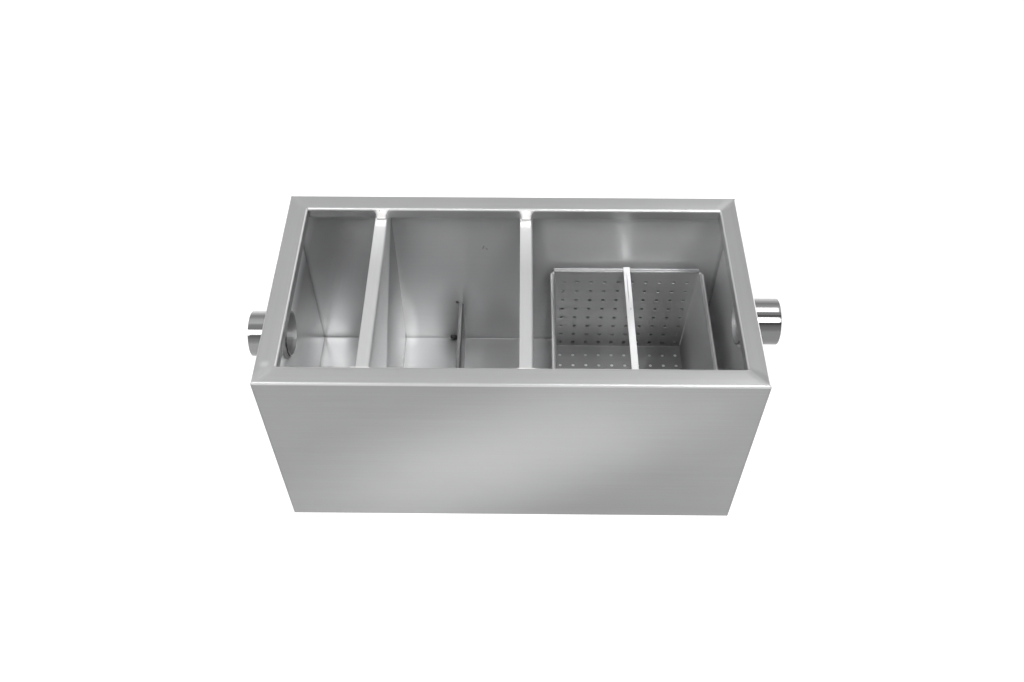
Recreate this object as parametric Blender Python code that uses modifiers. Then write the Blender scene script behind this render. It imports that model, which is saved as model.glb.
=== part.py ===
"""Grease trap: a folded stainless tank with three chambers, two pipe stubs and a lift-out strainer basket.

Metres, +Z up. The origin is under the middle of the tank, on the surface it stands on.
X runs along the tank, from the outlet (-X) to the inlet (+X), and the front is at -Y.
"""

import math

import bmesh
import bpy
from mathutils import Vector

# Tank
TANK_LENGTH = 0.600
TANK_DEPTH = 0.316
TANK_HEIGHT = 0.304
TANK_SHEET = 0.0012
TANK_BEND = 0.0035
RIM_LONG = 0.026
RIM_LEFT = 0.026
RIM_RIGHT = 0.0235
LIP_DEPTH = 0.016

# Partitions and the low baffle, each placed by its face towards the inlet
OUTLET_PARTITION_X = -0.168
INLET_PARTITION_X = 0.0267
PARTITION_FLANGE = 0.0165
UNDERFLOW_GAP = 0.018
BAFFLE_X = -0.0745
BAFFLE_HEIGHT = 0.085
BAFFLE_FLANGE = 0.0068

# Pipe stubs, whose axes lie at the middle of the depth
PIPE_DIAMETER = 0.0603
PIPE_WALL = 0.0016
PIPE_OUTSIDE = 0.044
PIPE_INSIDE = 0.006
PIPE_EDGE = 0.0004
INLET_DROP = 0.071
OUTLET_DROP = 0.103

# Weld beads
PIPE_BEAD = 0.0042
RIM_BEAD = 0.0040

# Basket, which stands on the tank's floor between the inlet partition and the inlet end
BASKET_SHEET = 0.0010
BASKET_BEND = 0.0020
BASKET_HEIGHT = 0.1725
BASKET_TAPER = 0.0050
BASKET_FLANGE = 0.0050
BASKET_NOTCH = 0.0050
BASKET_LEFT_CLEARANCE = 0.0278
BASKET_RIGHT_CLEARANCE = 0.0246
BASKET_FRONT_CLEARANCE = 0.056
BASKET_BACK_CLEARANCE = 0.0088
HOLE_DIAMETER = 0.0050
HOLE_PITCH = 0.0200
HOLE_LOWEST_ROW = 0.0100
HOLE_TOP_MARGIN = 0.0160
HOLE_SIDE_MARGIN = 0.0095
HANDLE_WIDTH = 0.0095
HANDLE_THICKNESS = 0.0025
HANDLE_EDGE = 0.0004

# Clearance between pieces that touch, and how finely curves are divided
SEAM = 0.0003
BEND_STEPS = 4
PIPE_STEPS = 48
HOLE_STEPS = 8

# Places that follow from the sizes above. What fits inside a folded sheet is drawn up to its inset,
# which lies within the trimmer that cuts it back to its seam.
TANK_INSET = TANK_SHEET + SEAM / 2
BASKET_INSET = BASKET_SHEET + SEAM / 2
HALF_LENGTH = TANK_LENGTH / 2
HALF_DEPTH = TANK_DEPTH / 2
FLOOR_TOP = TANK_SHEET
LIP_BOTTOM = TANK_HEIGHT - LIP_DEPTH
FLANGE_TOP = LIP_BOTTOM - SEAM
INLET_HEIGHT = TANK_HEIGHT - INLET_DROP
OUTLET_HEIGHT = TANK_HEIGHT - OUTLET_DROP
PIPE_RADIUS = PIPE_DIAMETER / 2
BASKET_LEFT = INLET_PARTITION_X + BASKET_LEFT_CLEARANCE + BASKET_FLANGE
BASKET_RIGHT = HALF_LENGTH - TANK_SHEET - BASKET_RIGHT_CLEARANCE - BASKET_FLANGE
BASKET_FRONT = TANK_SHEET - HALF_DEPTH + BASKET_FRONT_CLEARANCE + BASKET_FLANGE
BASKET_BACK = HALF_DEPTH - TANK_SHEET - BASKET_BACK_CLEARANCE - BASKET_FLANGE
BASKET_MIDDLE = Vector(((BASKET_LEFT + BASKET_RIGHT) / 2, (BASKET_FRONT + BASKET_BACK) / 2, FLOOR_TOP + SEAM))
BASKET_HALF_WIDTH = (BASKET_RIGHT - BASKET_LEFT) / 2
BASKET_HALF_DEPTH = (BASKET_BACK - BASKET_FRONT) / 2


def clear_scene():
    for old in list(bpy.data.objects):
        bpy.data.objects.remove(old, do_unlink=True)
    for old in list(bpy.data.collections):
        bpy.data.collections.remove(old)


def new_collection(name):
    collection = bpy.data.collections.new(name)
    bpy.context.scene.collection.children.link(collection)
    return collection


def steel(name, grey, roughness):
    material = bpy.data.materials.new(name)
    material.use_nodes = True
    shader = material.node_tree.nodes["Principled BSDF"]
    shader.inputs["Base Color"].default_value = (grey, grey, grey * 1.01, 1)
    shader.inputs["Metallic"].default_value = 1.0
    shader.inputs["Roughness"].default_value = roughness
    material.diffuse_color = (grey, grey, grey * 1.01, 1)
    return material


def add_object(name, mesh, collection, material=None):
    added = bpy.data.objects.new(name, mesh)
    collection.objects.link(added)
    if material:
        mesh.materials.append(material)
    if collection is CUTTERS:
        added.hide_render = True
        added.display_type = "WIRE"
    return added


def rounded_path(corners, radius):
    """The points of an open path in a plane, with an arc of the bend radius at each corner that turns."""
    corners = [Vector(corner) for corner in corners]
    points = [corners[0]]
    for before, corner, after in zip(corners, corners[1:], corners[2:]):
        back = (before - corner).normalized()
        ahead = (after - corner).normalized()
        half_angle = back.angle(ahead) / 2
        if half_angle > math.radians(89.9):
            points.append(corner)
            continue
        centre = corner + (back + ahead).normalized() * radius / math.sin(half_angle)
        start = corner + back * radius / math.tan(half_angle) - centre
        end = corner + ahead * radius / math.tan(half_angle) - centre
        first = math.atan2(start.y, start.x)
        turn = (math.atan2(end.y, end.x) - first + math.pi) % math.tau - math.pi
        for step in range(BEND_STEPS + 1):
            angle = first + turn * step / BEND_STEPS
            points.append(centre + radius * Vector((math.cos(angle), math.sin(angle))))
    points.append(corners[-1])
    return points


def folded_sheet(name, path, ends, place, thickness, collection, material=None):
    """A sheet whose outer face follows a path, run between two ends and thickened away from that face.

    ends(point) gives where the sheet starts and stops along its run at a point of the path,
    and place(run, point) puts a point of the path in space at that distance along the run.
    """
    mesh = bpy.data.meshes.new(name)
    shape = bmesh.new()
    rows = []
    for point in path:
        rows.append([shape.verts.new(place(run, point)) for run in ends(point)])
    for (near, far), (next_near, next_far) in zip(rows, rows[1:]):
        shape.faces.new((near, next_near, next_far, far))
    shape.to_mesh(mesh)
    shape.free()
    sheet = add_object(name, mesh, collection, material)
    solidify = sheet.modifiers.new("sheet thickness", "SOLIDIFY")
    solidify.thickness = thickness
    solidify.offset = -1
    solidify.use_even_offset = True
    return sheet


def along_x(run, point):
    return (run, point.x, point.y)


def along_y(run, point):
    return (point.x, run, point.y)


def cut(piece, cutter):
    boolean = piece.modifiers.new("cut by " + cutter.name, "BOOLEAN")
    boolean.operation = "DIFFERENCE"
    boolean.solver = "EXACT"
    boolean.object = cutter


def cylinder_cutter(name, radius, length, steps, location, axis):
    """A cylinder along X or Z, for cutting a hole."""
    bpy.ops.mesh.primitive_cylinder_add(
        vertices=steps,
        radius=radius,
        depth=length,
        location=location,
        rotation=(0, math.radians(90), 0) if axis == "X" else (0, 0, 0),
    )
    cutter = bpy.context.object
    cutter.name = name
    for collection in list(cutter.users_collection):
        collection.objects.unlink(cutter)
    CUTTERS.objects.link(cutter)
    cutter.hide_render = True
    cutter.display_type = "WIRE"
    return cutter


def turned(name, profile, location, material):
    """A ring or tube about the X axis, turned from a closed profile of (distance along X, radius)."""
    mesh = bpy.data.meshes.new(name)
    shape = bmesh.new()
    area = sum(x1 * r2 - x2 * r1 for (x1, r1), (x2, r2) in zip(profile, profile[1:] + profile[:1]))
    if area < 0:
        profile = profile[::-1]
    corners = [shape.verts.new((x, 0, radius)) for x, radius in profile]
    for corner, following in zip(corners, corners[1:] + corners[:1]):
        shape.edges.new((corner, following))
    shape.to_mesh(mesh)
    shape.free()
    ring = add_object(name, mesh, PARTS, material)
    ring.location = location
    screw = ring.modifiers.new("turn", "SCREW")
    screw.axis = "X"
    screw.angle = math.tau
    screw.steps = PIPE_STEPS
    screw.render_steps = PIPE_STEPS
    screw.use_merge_vertices = True
    screw.merge_threshold = 0.00001
    screw.use_smooth_shade = True
    return ring


# Tank body: front, floor and back are one sheet, with a rim folded in and a lip folded down

def tank_body_sheet(name, grow, collection, material=None):
    """The body sheet, or with a grow the same sheet made thicker inwards and longer, to trim what fits inside."""
    inner = HALF_DEPTH - RIM_LONG
    path = rounded_path(
        [
            (-inner, LIP_BOTTOM - grow),
            (-inner, TANK_HEIGHT),
            (-HALF_DEPTH, TANK_HEIGHT),
            (-HALF_DEPTH, 0),
            (HALF_DEPTH, 0),
            (HALF_DEPTH, TANK_HEIGHT),
            (inner, TANK_HEIGHT),
            (inner, LIP_BOTTOM - grow),
        ],
        TANK_BEND,
    )

    def ends(point):
        mitre = 0
        if point.y > LIP_BOTTOM - grow - SEAM:
            mitre = (HALF_DEPTH - abs(point.x)) / RIM_LONG
        return (-HALF_LENGTH - grow + mitre * RIM_LEFT, HALF_LENGTH + grow - mitre * RIM_RIGHT)

    return folded_sheet(name, path, ends, along_x, TANK_SHEET + grow, collection, material)


def end_panel(name, side, rim, pipe_height):
    """An end panel fits inside the body sheet, and its rim meets the long rims in mitres."""
    outer = side * HALF_LENGTH
    inner = side * (HALF_LENGTH - rim)
    corners = [
        (inner, LIP_BOTTOM),
        (inner, TANK_HEIGHT),
        (outer, TANK_HEIGHT),
        (outer, TANK_INSET),
    ]
    if side < 0:
        corners.reverse()
    path = rounded_path(corners, TANK_BEND)

    def ends(point):
        mitre = (HALF_LENGTH - abs(point.x)) / rim * RIM_LONG + 1.5 * SEAM
        reach = HALF_DEPTH - max(mitre, TANK_INSET)
        return (-reach, reach)

    panel = folded_sheet(name, path, ends, along_y, TANK_SHEET, PARTS, TANK_STEEL)
    cut(panel, BODY_TRIMMER)
    hole = cylinder_cutter(
        name + "_pipe_hole",
        PIPE_RADIUS + SEAM,
        RIM_LONG,
        PIPE_STEPS,
        (outer, 0, pipe_height),
        "X",
    )
    cut(panel, hole)
    return panel


# Partitions and baffle: a plate with its top edge folded over towards the outlet

def chamber_plate(name, face_x, flange, top, bottom):
    path = rounded_path([(face_x - flange, top), (face_x, top), (face_x, bottom)], TANK_BEND)
    reach = HALF_DEPTH - TANK_INSET

    def ends(point):
        return (-reach, reach)

    plate = folded_sheet(name, path, ends, along_y, TANK_SHEET, PARTS, PARTITION_STEEL)
    cut(plate, BODY_TRIMMER)
    return plate


# Pipe stubs, each through its hole in the end panel, with a bead of weld inside and outside

def pipe_stub(name, side, height):
    outside = HALF_LENGTH + PIPE_OUTSIDE
    inside = HALF_LENGTH - TANK_SHEET - PIPE_INSIDE
    bore = PIPE_RADIUS - PIPE_WALL
    profile = [
        (side * inside, PIPE_RADIUS),
        (side * (outside - PIPE_EDGE), PIPE_RADIUS),
        (side * outside, PIPE_RADIUS - PIPE_EDGE),
        (side * outside, bore + PIPE_EDGE),
        (side * (outside - PIPE_EDGE), bore),
        (side * inside, bore),
    ]
    return turned(name, profile, (0, 0, height), PIPE_STEEL)


def pipe_bead(name, start, direction, height):
    """A fillet weld between the pipe and the panel face at start, growing away from the panel."""
    foot = start + direction * SEAM
    root = PIPE_RADIUS + SEAM
    profile = [
        (foot, root),
        (foot + direction * PIPE_BEAD, root),
        (foot + direction * PIPE_BEAD * 0.62, root + PIPE_BEAD * 0.30),
        (foot + direction * PIPE_BEAD * 0.30, root + PIPE_BEAD * 0.62),
        (foot, root + PIPE_BEAD),
    ]
    return turned(name, profile, (0, 0, height), WELD_STEEL)


def rim_bead(name, face_x, side):
    """A fillet weld along the end of a partition's flange, in the corner under the front or back rim."""
    wall = HALF_DEPTH - RIM_LONG - SEAM
    foot = FLANGE_TOP + SEAM
    path = [
        (wall, foot),
        (wall, foot + RIM_BEAD),
        (wall - RIM_BEAD * 0.30, foot + RIM_BEAD * 0.38),
        (wall - RIM_BEAD * 0.62, foot + RIM_BEAD * 0.12),
        (wall - RIM_BEAD, foot),
    ]
    curve = bpy.data.curves.new(name, "CURVE")
    curve.dimensions = "2D"
    curve.fill_mode = "BOTH"
    curve.extrude = (PARTITION_FLANGE - TANK_BEND) / 2
    outline = curve.splines.new("POLY")
    outline.points.add(len(path) - 1)
    for point, (y, z) in zip(outline.points, path):
        point.co = (side * y, z, 0, 1)
    outline.use_cyclic_u = True
    bead = bpy.data.objects.new(name, curve)
    PARTS.objects.link(bead)
    curve.materials.append(WELD_STEEL)
    bead.location = (face_x - (PARTITION_FLANGE + TANK_BEND) / 2, 0, 0)
    bead.rotation_euler = (math.radians(90), 0, math.radians(90))
    return bead


# Basket: front, floor and back are one perforated sheet, closed by two plain ends

def basket_half_width(height):
    return BASKET_HALF_WIDTH - BASKET_TAPER * (1 - height / BASKET_HEIGHT)


def basket_sleeve_sheet(name, grow, collection, material=None):
    top = BASKET_HEIGHT - BASKET_SHEET
    path = rounded_path(
        [
            (-BASKET_HALF_DEPTH - BASKET_FLANGE, top),
            (-BASKET_HALF_DEPTH, top),
            (-BASKET_HALF_DEPTH, 0),
            (BASKET_HALF_DEPTH, 0),
            (BASKET_HALF_DEPTH, top),
            (BASKET_HALF_DEPTH + BASKET_FLANGE, top),
        ],
        BASKET_BEND,
    )

    def ends(point):
        reach = basket_half_width(point.y) + grow
        return (-reach, reach)

    sleeve = folded_sheet(name, path, ends, along_x, BASKET_SHEET + grow, collection, material)
    sleeve.location = BASKET_MIDDLE
    return sleeve


def hole_places(span):
    """Places of a centred row of holes that leaves the side margin free."""
    count = math.floor((span - 2 * HOLE_SIDE_MARGIN) / HOLE_PITCH) + 1
    return [(i - (count - 1) / 2) * HOLE_PITCH for i in range(count)]


def perforation_cutter():
    """Every hole's cylinder in one mesh: rows through the front and back walls, and a grid through the floor."""
    mesh = bpy.data.meshes.new("perforation")
    shape = bmesh.new()
    columns = hole_places(2 * basket_half_width(0))
    room = BASKET_HEIGHT - HOLE_TOP_MARGIN - HOLE_LOWEST_ROW
    rows = [HOLE_LOWEST_ROW + i * HOLE_PITCH for i in range(math.floor(room / HOLE_PITCH) + 1)]
    wall_reach = BASKET_BEND + 2 * BASKET_SHEET
    for x in columns:
        for z in rows:
            for side in (-1, 1):
                wall = Vector((x, side * BASKET_HALF_DEPTH, z))
                add_drill(shape, wall, wall_reach, Vector((0, 1, 0)))
        for y in hole_places(2 * BASKET_HALF_DEPTH):
            add_drill(shape, Vector((x, y, 0)), wall_reach, Vector((0, 0, 1)))
    shape.to_mesh(mesh)
    shape.free()
    cutter = add_object("perforation", mesh, CUTTERS)
    cutter.location = BASKET_MIDDLE
    return cutter


def add_drill(shape, middle, length, direction):
    turn = direction.to_track_quat("Z", "X").to_matrix().to_4x4()
    turn.translation = middle
    bmesh.ops.create_cone(
        shape,
        cap_ends=True,
        segments=HOLE_STEPS,
        radius1=HOLE_DIAMETER / 2,
        radius2=HOLE_DIAMETER / 2,
        depth=length,
        matrix=turn,
    )


def basket_end(name, side):
    """A plain end, inset between the sleeve's walls, whose flange stops short of the corners."""
    top = BASKET_HEIGHT - BASKET_SHEET
    shoulder = top - 2 * BASKET_BEND
    upper = side * basket_half_width(top)
    lean = side * basket_half_width(shoulder)
    lower = side * basket_half_width(0)
    corners = [
        (upper + side * BASKET_FLANGE, top),
        (upper, top),
        (lean, shoulder),
        (lower, BASKET_INSET),
    ]
    if side < 0:
        corners.reverse()
    path = rounded_path(corners, BASKET_BEND)

    def ends(point):
        above = point.y > shoulder + SEAM
        reach = BASKET_HALF_DEPTH - (BASKET_NOTCH if above else BASKET_INSET)
        return (-reach, reach)

    end = folded_sheet(name, path, ends, along_y, BASKET_SHEET, PARTS, BASKET_STEEL)
    end.location = BASKET_MIDDLE
    cut(end, SLEEVE_TRIMMER)
    return end


def basket_handle():
    """A flat bar laid across the front and back flanges."""
    length = 2 * (BASKET_HALF_DEPTH + BASKET_FLANGE)
    mesh = bpy.data.meshes.new("basket_handle")
    shape = bmesh.new()
    bmesh.ops.create_cube(shape, size=1)
    bmesh.ops.scale(shape, vec=(HANDLE_WIDTH, length, HANDLE_THICKNESS), verts=shape.verts)
    shape.to_mesh(mesh)
    shape.free()
    handle = add_object("basket_handle", mesh, PARTS, HANDLE_STEEL)
    handle.location = BASKET_MIDDLE + Vector((0, 0, BASKET_HEIGHT + SEAM + HANDLE_THICKNESS / 2))
    bevel = handle.modifiers.new("soft edges", "BEVEL")
    bevel.width = HANDLE_EDGE
    bevel.segments = 2
    return handle


clear_scene()
PARTS = new_collection("grease_trap")
CUTTERS = new_collection("cutters")
TANK_STEEL = steel("tank steel", 0.42, 0.34)
PARTITION_STEEL = steel("partition steel", 0.46, 0.32)
PIPE_STEEL = steel("pipe steel", 0.50, 0.22)
BASKET_STEEL = steel("basket steel", 0.38, 0.30)
HANDLE_STEEL = steel("handle steel", 0.62, 0.25)
WELD_STEEL = steel("weld steel", 0.55, 0.40)

tank_body_sheet("tank_body", 0, PARTS, TANK_STEEL)
BODY_TRIMMER = tank_body_sheet("tank_body_trimmer", SEAM, CUTTERS)
end_panel("outlet_end_panel", -1, RIM_LEFT, OUTLET_HEIGHT)
end_panel("inlet_end_panel", 1, RIM_RIGHT, INLET_HEIGHT)

partition_bottom = FLOOR_TOP + UNDERFLOW_GAP
chamber_plate("outlet_partition", OUTLET_PARTITION_X, PARTITION_FLANGE, FLANGE_TOP, partition_bottom)
chamber_plate("inlet_partition", INLET_PARTITION_X, PARTITION_FLANGE, FLANGE_TOP, partition_bottom)
chamber_plate("low_baffle", BAFFLE_X, BAFFLE_FLANGE, FLOOR_TOP + BAFFLE_HEIGHT, TANK_INSET)

pipe_stub("outlet_pipe", -1, OUTLET_HEIGHT)
pipe_stub("inlet_pipe", 1, INLET_HEIGHT)
for end_name, end_side, pipe_height in (("outlet", -1, OUTLET_HEIGHT), ("inlet", 1, INLET_HEIGHT)):
    outer_face = end_side * HALF_LENGTH
    inner_face = end_side * (HALF_LENGTH - TANK_SHEET)
    pipe_bead(end_name + "_weld_outside", outer_face, end_side, pipe_height)
    pipe_bead(end_name + "_weld_inside", inner_face, -end_side, pipe_height)
for plate_name, plate_x in (("outlet", OUTLET_PARTITION_X), ("inlet", INLET_PARTITION_X)):
    rim_bead(plate_name + "_partition_weld_front", plate_x, -1)
    rim_bead(plate_name + "_partition_weld_back", plate_x, 1)

sleeve = basket_sleeve_sheet("basket_sleeve", 0, PARTS, BASKET_STEEL)
cut(sleeve, perforation_cutter())
SLEEVE_TRIMMER = basket_sleeve_sheet("basket_sleeve_trimmer", SEAM, CUTTERS)
basket_end("basket_left_end", -1)
basket_end("basket_right_end", 1)
basket_handle()
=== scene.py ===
"""Looks of the grease trap: finely bent sheets, welds, a punched basket and brushed steel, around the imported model."""

import math

import bmesh
import bpy
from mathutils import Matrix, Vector, noise


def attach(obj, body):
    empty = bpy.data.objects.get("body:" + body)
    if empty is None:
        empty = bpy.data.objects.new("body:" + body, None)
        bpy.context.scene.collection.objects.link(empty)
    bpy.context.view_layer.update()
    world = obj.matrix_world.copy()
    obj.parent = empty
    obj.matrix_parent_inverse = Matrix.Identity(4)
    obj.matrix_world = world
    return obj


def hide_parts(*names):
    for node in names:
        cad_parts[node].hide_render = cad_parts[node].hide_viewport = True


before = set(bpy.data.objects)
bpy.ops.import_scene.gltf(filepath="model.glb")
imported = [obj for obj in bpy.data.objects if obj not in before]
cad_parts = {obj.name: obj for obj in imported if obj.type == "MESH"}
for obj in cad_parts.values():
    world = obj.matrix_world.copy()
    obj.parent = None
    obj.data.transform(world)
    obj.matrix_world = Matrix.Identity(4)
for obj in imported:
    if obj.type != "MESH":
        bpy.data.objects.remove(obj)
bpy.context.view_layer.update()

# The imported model's own measures, in metres
HALF_LENGTH = 0.300
HALF_DEPTH = 0.158
TANK_HEIGHT = 0.304
TANK_SHEET = 0.0012
TANK_BEND = 0.0035
RIM_LONG = 0.026
RIM_LEFT = 0.026
RIM_RIGHT = 0.0235
LIP_BOTTOM = 0.288
SEAM = 0.0003
INSET = TANK_SHEET + SEAM / 2
OUTLET_PARTITION_X = -0.168
INLET_PARTITION_X = 0.0267
PARTITION_FLANGE = 0.0165
PARTITION_BOTTOM = 0.0192
FLANGE_TOP = LIP_BOTTOM - SEAM
BAFFLE_X = -0.0745
BAFFLE_TOP = 0.0862
BAFFLE_FLANGE = 0.0068
PIPE_RADIUS = 0.03015
PIPE_BORE = 0.02855
PIPE_END = 0.344
PIPE_START = 0.2928
INLET_HEIGHT = 0.233
OUTLET_HEIGHT = 0.201
BASKET_SHEET = 0.001
BASKET_BEND = 0.002
BASKET_TOP = 0.1715
BASKET_TAPER = 0.005
BASKET_FLANGE = 0.005
BASKET_HALF_WIDTH = 0.09985 + BASKET_TAPER
BASKET_HALF_DEPTH = 0.1194
BASKET_CENTRE = Vector((0.16435, 0.0236, 0.0015))
BASKET_NOTCH = 0.005
HOLE_RADIUS = 0.0025
HOLE_PITCH = 0.020
HOLE_ROWS = 8
HOLE_COLUMNS = 10
FLOOR_HOLE_ROWS = 11
HANDLE_WIDTH = 0.0095
HANDLE_THICKNESS = 0.0025

# How finely the looks are divided
FLAT_SPACING = 0.012
BEND_STEPS = 8
PIPE_STEPS = 144
HOLE_STEPS = 24


# Materials

# How far brushed steel's colour drifts along its grain, and its roughness along its grain and over the sheet
STREAK = 0.06
ROUGH_STREAK = 0.04
ROUGH_DRIFT = 0.06
ROUGHEST = 0.9


class Nodes:
    """Adds shader nodes to a tree, each wired as it is made."""

    def __init__(self, tree):
        self.tree = tree

    def feed(self, node, **sockets):
        """Sets or links a node's inputs, named with _ for a space, or i0, i1, i2 by their number."""
        for key, value in sockets.items():
            socket = node.inputs[int(key[1:]) if key[1:].isdigit() else key.replace("_", " ")]
            if isinstance(value, bpy.types.NodeSocket):
                self.tree.links.new(value, socket)
            else:
                socket.default_value = value

    def add(self, kind, output=0, settings=(), **sockets):
        made = self.tree.nodes.new(kind)
        for key, value in dict(settings).items():
            setattr(made, key, value)
        self.feed(made, **sockets)
        return made.outputs[output]

    def math(self, operation, *values, kind="ShaderNodeMath", output=0):
        numbered = {f"i{index}": value for index, value in enumerate(values)}
        return self.add(kind, output=output, settings={"operation": operation}, **numbered)

    def vector_math(self, operation, *values, output="Vector"):
        return self.math(operation, *values, kind="ShaderNodeVectorMath", output=output)

    def split(self, vector):
        """A vector's X, Y and Z, by name."""
        made = self.tree.nodes.new("ShaderNodeSeparateXYZ")
        self.tree.links.new(vector, made.inputs[0])
        return made.outputs

    def blend(self, share, low, high):
        """From low to high by a share between 0 and 1."""
        return self.math("MULTIPLY_ADD", share, self.math("SUBTRACT", high, low), low)

    def ramp(self, value, stops):
        """A soft curve through levels at places between 0 and 1."""
        made = self.tree.nodes.new("ShaderNodeValToRGB")
        made.color_ramp.interpolation = "EASE"
        elements = made.color_ramp.elements
        while len(elements) < len(stops):
            elements.new(0.5)
        for element, (place, level) in zip(elements, sorted(stops)):
            element.position = place
            element.color = (level, level, level, 1)
        self.tree.links.new(value, made.inputs[0])
        return made.outputs[0]


class Shade(Nodes):
    """A material of nodes. Places are read in the object's own metres, so grain keeps its size everywhere."""

    def __init__(self, name):
        self.material = bpy.data.materials.new(name)
        self.material.use_nodes = True
        super().__init__(self.material.node_tree)
        self.shader = self.tree.nodes["Principled BSDF"]
        self.place = self.add("ShaderNodeTexCoord", output="Object")
        self.smoother = self.polish = 0.0

    def along(self, axis):
        """How far along X, Y or Z a place is."""
        return self.split(self.place)[axis]

    def noise(self, scale, detail=2.0, move=(0, 0, 0)):
        """Noise whose features are 1/scale metres long along each axis."""
        stretched = self.add("ShaderNodeMapping", Vector=self.place, Scale=scale, Location=move)
        return self.add("ShaderNodeTexNoise", output="Fac", Vector=stretched, Scale=1.0, Detail=detail)

    def vary(self, value, pattern, amount):
        """A value that follows a pattern up and down, by half of the amount each way."""
        return self.math("MULTIPLY_ADD", self.math("SUBTRACT", pattern, 0.5), amount, value)

    def ranged(self, value, low, high, new_low=0.0, new_high=1.0, smooth=True):
        settings = {"interpolation_type": "SMOOTHSTEP" if smooth else "LINEAR"}
        bounds = dict(From_Min=low, From_Max=high, To_Min=new_low, To_Max=new_high)
        return self.add("ShaderNodeMapRange", settings=settings, Value=value, **bounds)

    def patch(self, centre, radii, turn, edge=0.35, ragged=0.25, ragged_scale=120.0, inside=False):
        """1 inside an ellipsoid about a place, fading to 0 at its edge, which is ragged."""
        ragged_by = self.add("ShaderNodeTexNoise", output="Fac", Vector=self.place, Scale=ragged_scale, Detail=3.0)
        held = dict(Location=centre, Rotation=turn, Scale=radii)
        local = self.add("ShaderNodeMapping", settings={"vector_type": "TEXTURE"}, Vector=self.place, **held)
        length = self.vector_math("LENGTH", local, output="Value")
        shifted = self.math("MULTIPLY_ADD", ragged_by, ragged * 2, length)
        made = self.ranged(shifted, 1.0 + ragged, edge + ragged)
        return self.math("MULTIPLY", made, self.smoother) if inside else made

    def grey(self, value, warmth):
        """A grey, very slightly warm or cool."""
        red, blue = (self.math("MULTIPLY", value, 1.0 + change) for change in (warmth, -warmth))
        return self.add("ShaderNodeCombineColor", output="Color", Red=red, Green=value, Blue=blue)

    def metal(self, value, warmth, rough, smoothest, relief, strength, depth, **more):
        """Wires the shader with a grey, a roughness kept within bounds and the relief of its finest grain."""
        lifted = self.add("ShaderNodeBump", output="Normal", Strength=strength, Distance=depth, Height=relief)
        kept = self.ranged(rough, smoothest, ROUGHEST, smoothest, ROUGHEST, smooth=False)
        self.feed(self.shader, Base_Color=self.grey(value, warmth), Roughness=kept, Normal=lifted, **more)
        return self.material


def grain_scale(axis, across):
    """Noise scales that draw a pattern out along an axis."""
    return tuple(across / 90.0 if name == axis else across for name in "XYZ")


def brushed(
    name, tone, roughness, grain, anisotropy, cloud=0.10, bump=0.03, patches=(), zones=None, metal=0.82, edge_tint=1.0
):
    """Brushed stainless steel.

    tone is its mean colour, cloud how far the colour drifts over the sheet, and each patch is (mask arguments,
    what it adds to the tone, what it adds to the roughness). zones(shade) may give a tone that differs between
    the sides of a sheet. metal below 1 keeps a little of the even, milky scatter of a brushed surface.
    """
    shade = Shade(name)
    value = zones(shade) if zones else tone
    coarse = shade.noise(grain_scale(grain, 330.0), detail=3.0)
    fine = shade.noise(grain_scale(grain, 1900.0), move=(0.3, 0.7, 0.1))
    drift = shade.noise((7.0, 7.0, 7.0), move=(1.7, 0.4, 2.2))
    smear = shade.noise(grain_scale(grain, 45.0), detail=3.0, move=(0.9, 0.2, 0.5))
    for pattern, amount in ((coarse, STREAK), (fine, STREAK), (drift, cloud), (smear, cloud * 0.5)):
        value = shade.vary(value, pattern, amount * tone)
    rough = shade.vary(shade.vary(roughness, coarse, ROUGH_STREAK), drift, ROUGH_DRIFT)
    rough = shade.math("MULTIPLY_ADD", shade.polish, -INSIDE_SMOOTHER, rough)
    for mask, brighter, rougher in patches:
        made = shade.patch(**mask)
        value = shade.math("MULTIPLY_ADD", made, brighter, value)
        rough = shade.math("MULTIPLY_ADD", made, rougher, rough)
    relief = shade.math("ADD", coarse, shade.math("MULTIPLY", fine, 0.6))
    return shade.metal(
        value, -0.004, rough, 0.04, relief, bump, 0.00012,
        Metallic=metal,
        Specular_Tint=(edge_tint, edge_tint, edge_tint, 1),
        Anisotropic=anisotropy,
        Tangent=shade.add("ShaderNodeTangent", settings={"direction_type": "UV_MAP", "uv_map": "grain"}),
    )


def weld_metal(name, tone, roughness, tint=0.25, metal=1.0, joint=0.0):
    """Weld metal: rippled and blotchy, with a little straw-coloured heat tint left in places.

    joint is how high the darker line along the foot of a weld on the lips reaches.
    """
    shade = Shade(name)
    blotch = shade.noise((160.0, 160.0, 160.0), detail=3.0)
    grit = shade.noise((1500.0, 1500.0, 1500.0))
    value = shade.vary(shade.vary(tone, blotch, tint), grit, 0.12)
    if joint:
        line = shade.ranged(shade.along("Z"), LIP_BOTTOM + joint * 0.5, LIP_BOTTOM + joint, 0.5, 1.0)
        value = shade.math("MULTIPLY", value, line)
    rough = shade.vary(roughness, blotch, 0.25)
    return shade.metal(value, 0.012, rough, 0.08, grit, 0.35, 0.0002, Metallic=metal)


# Meshes

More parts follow.
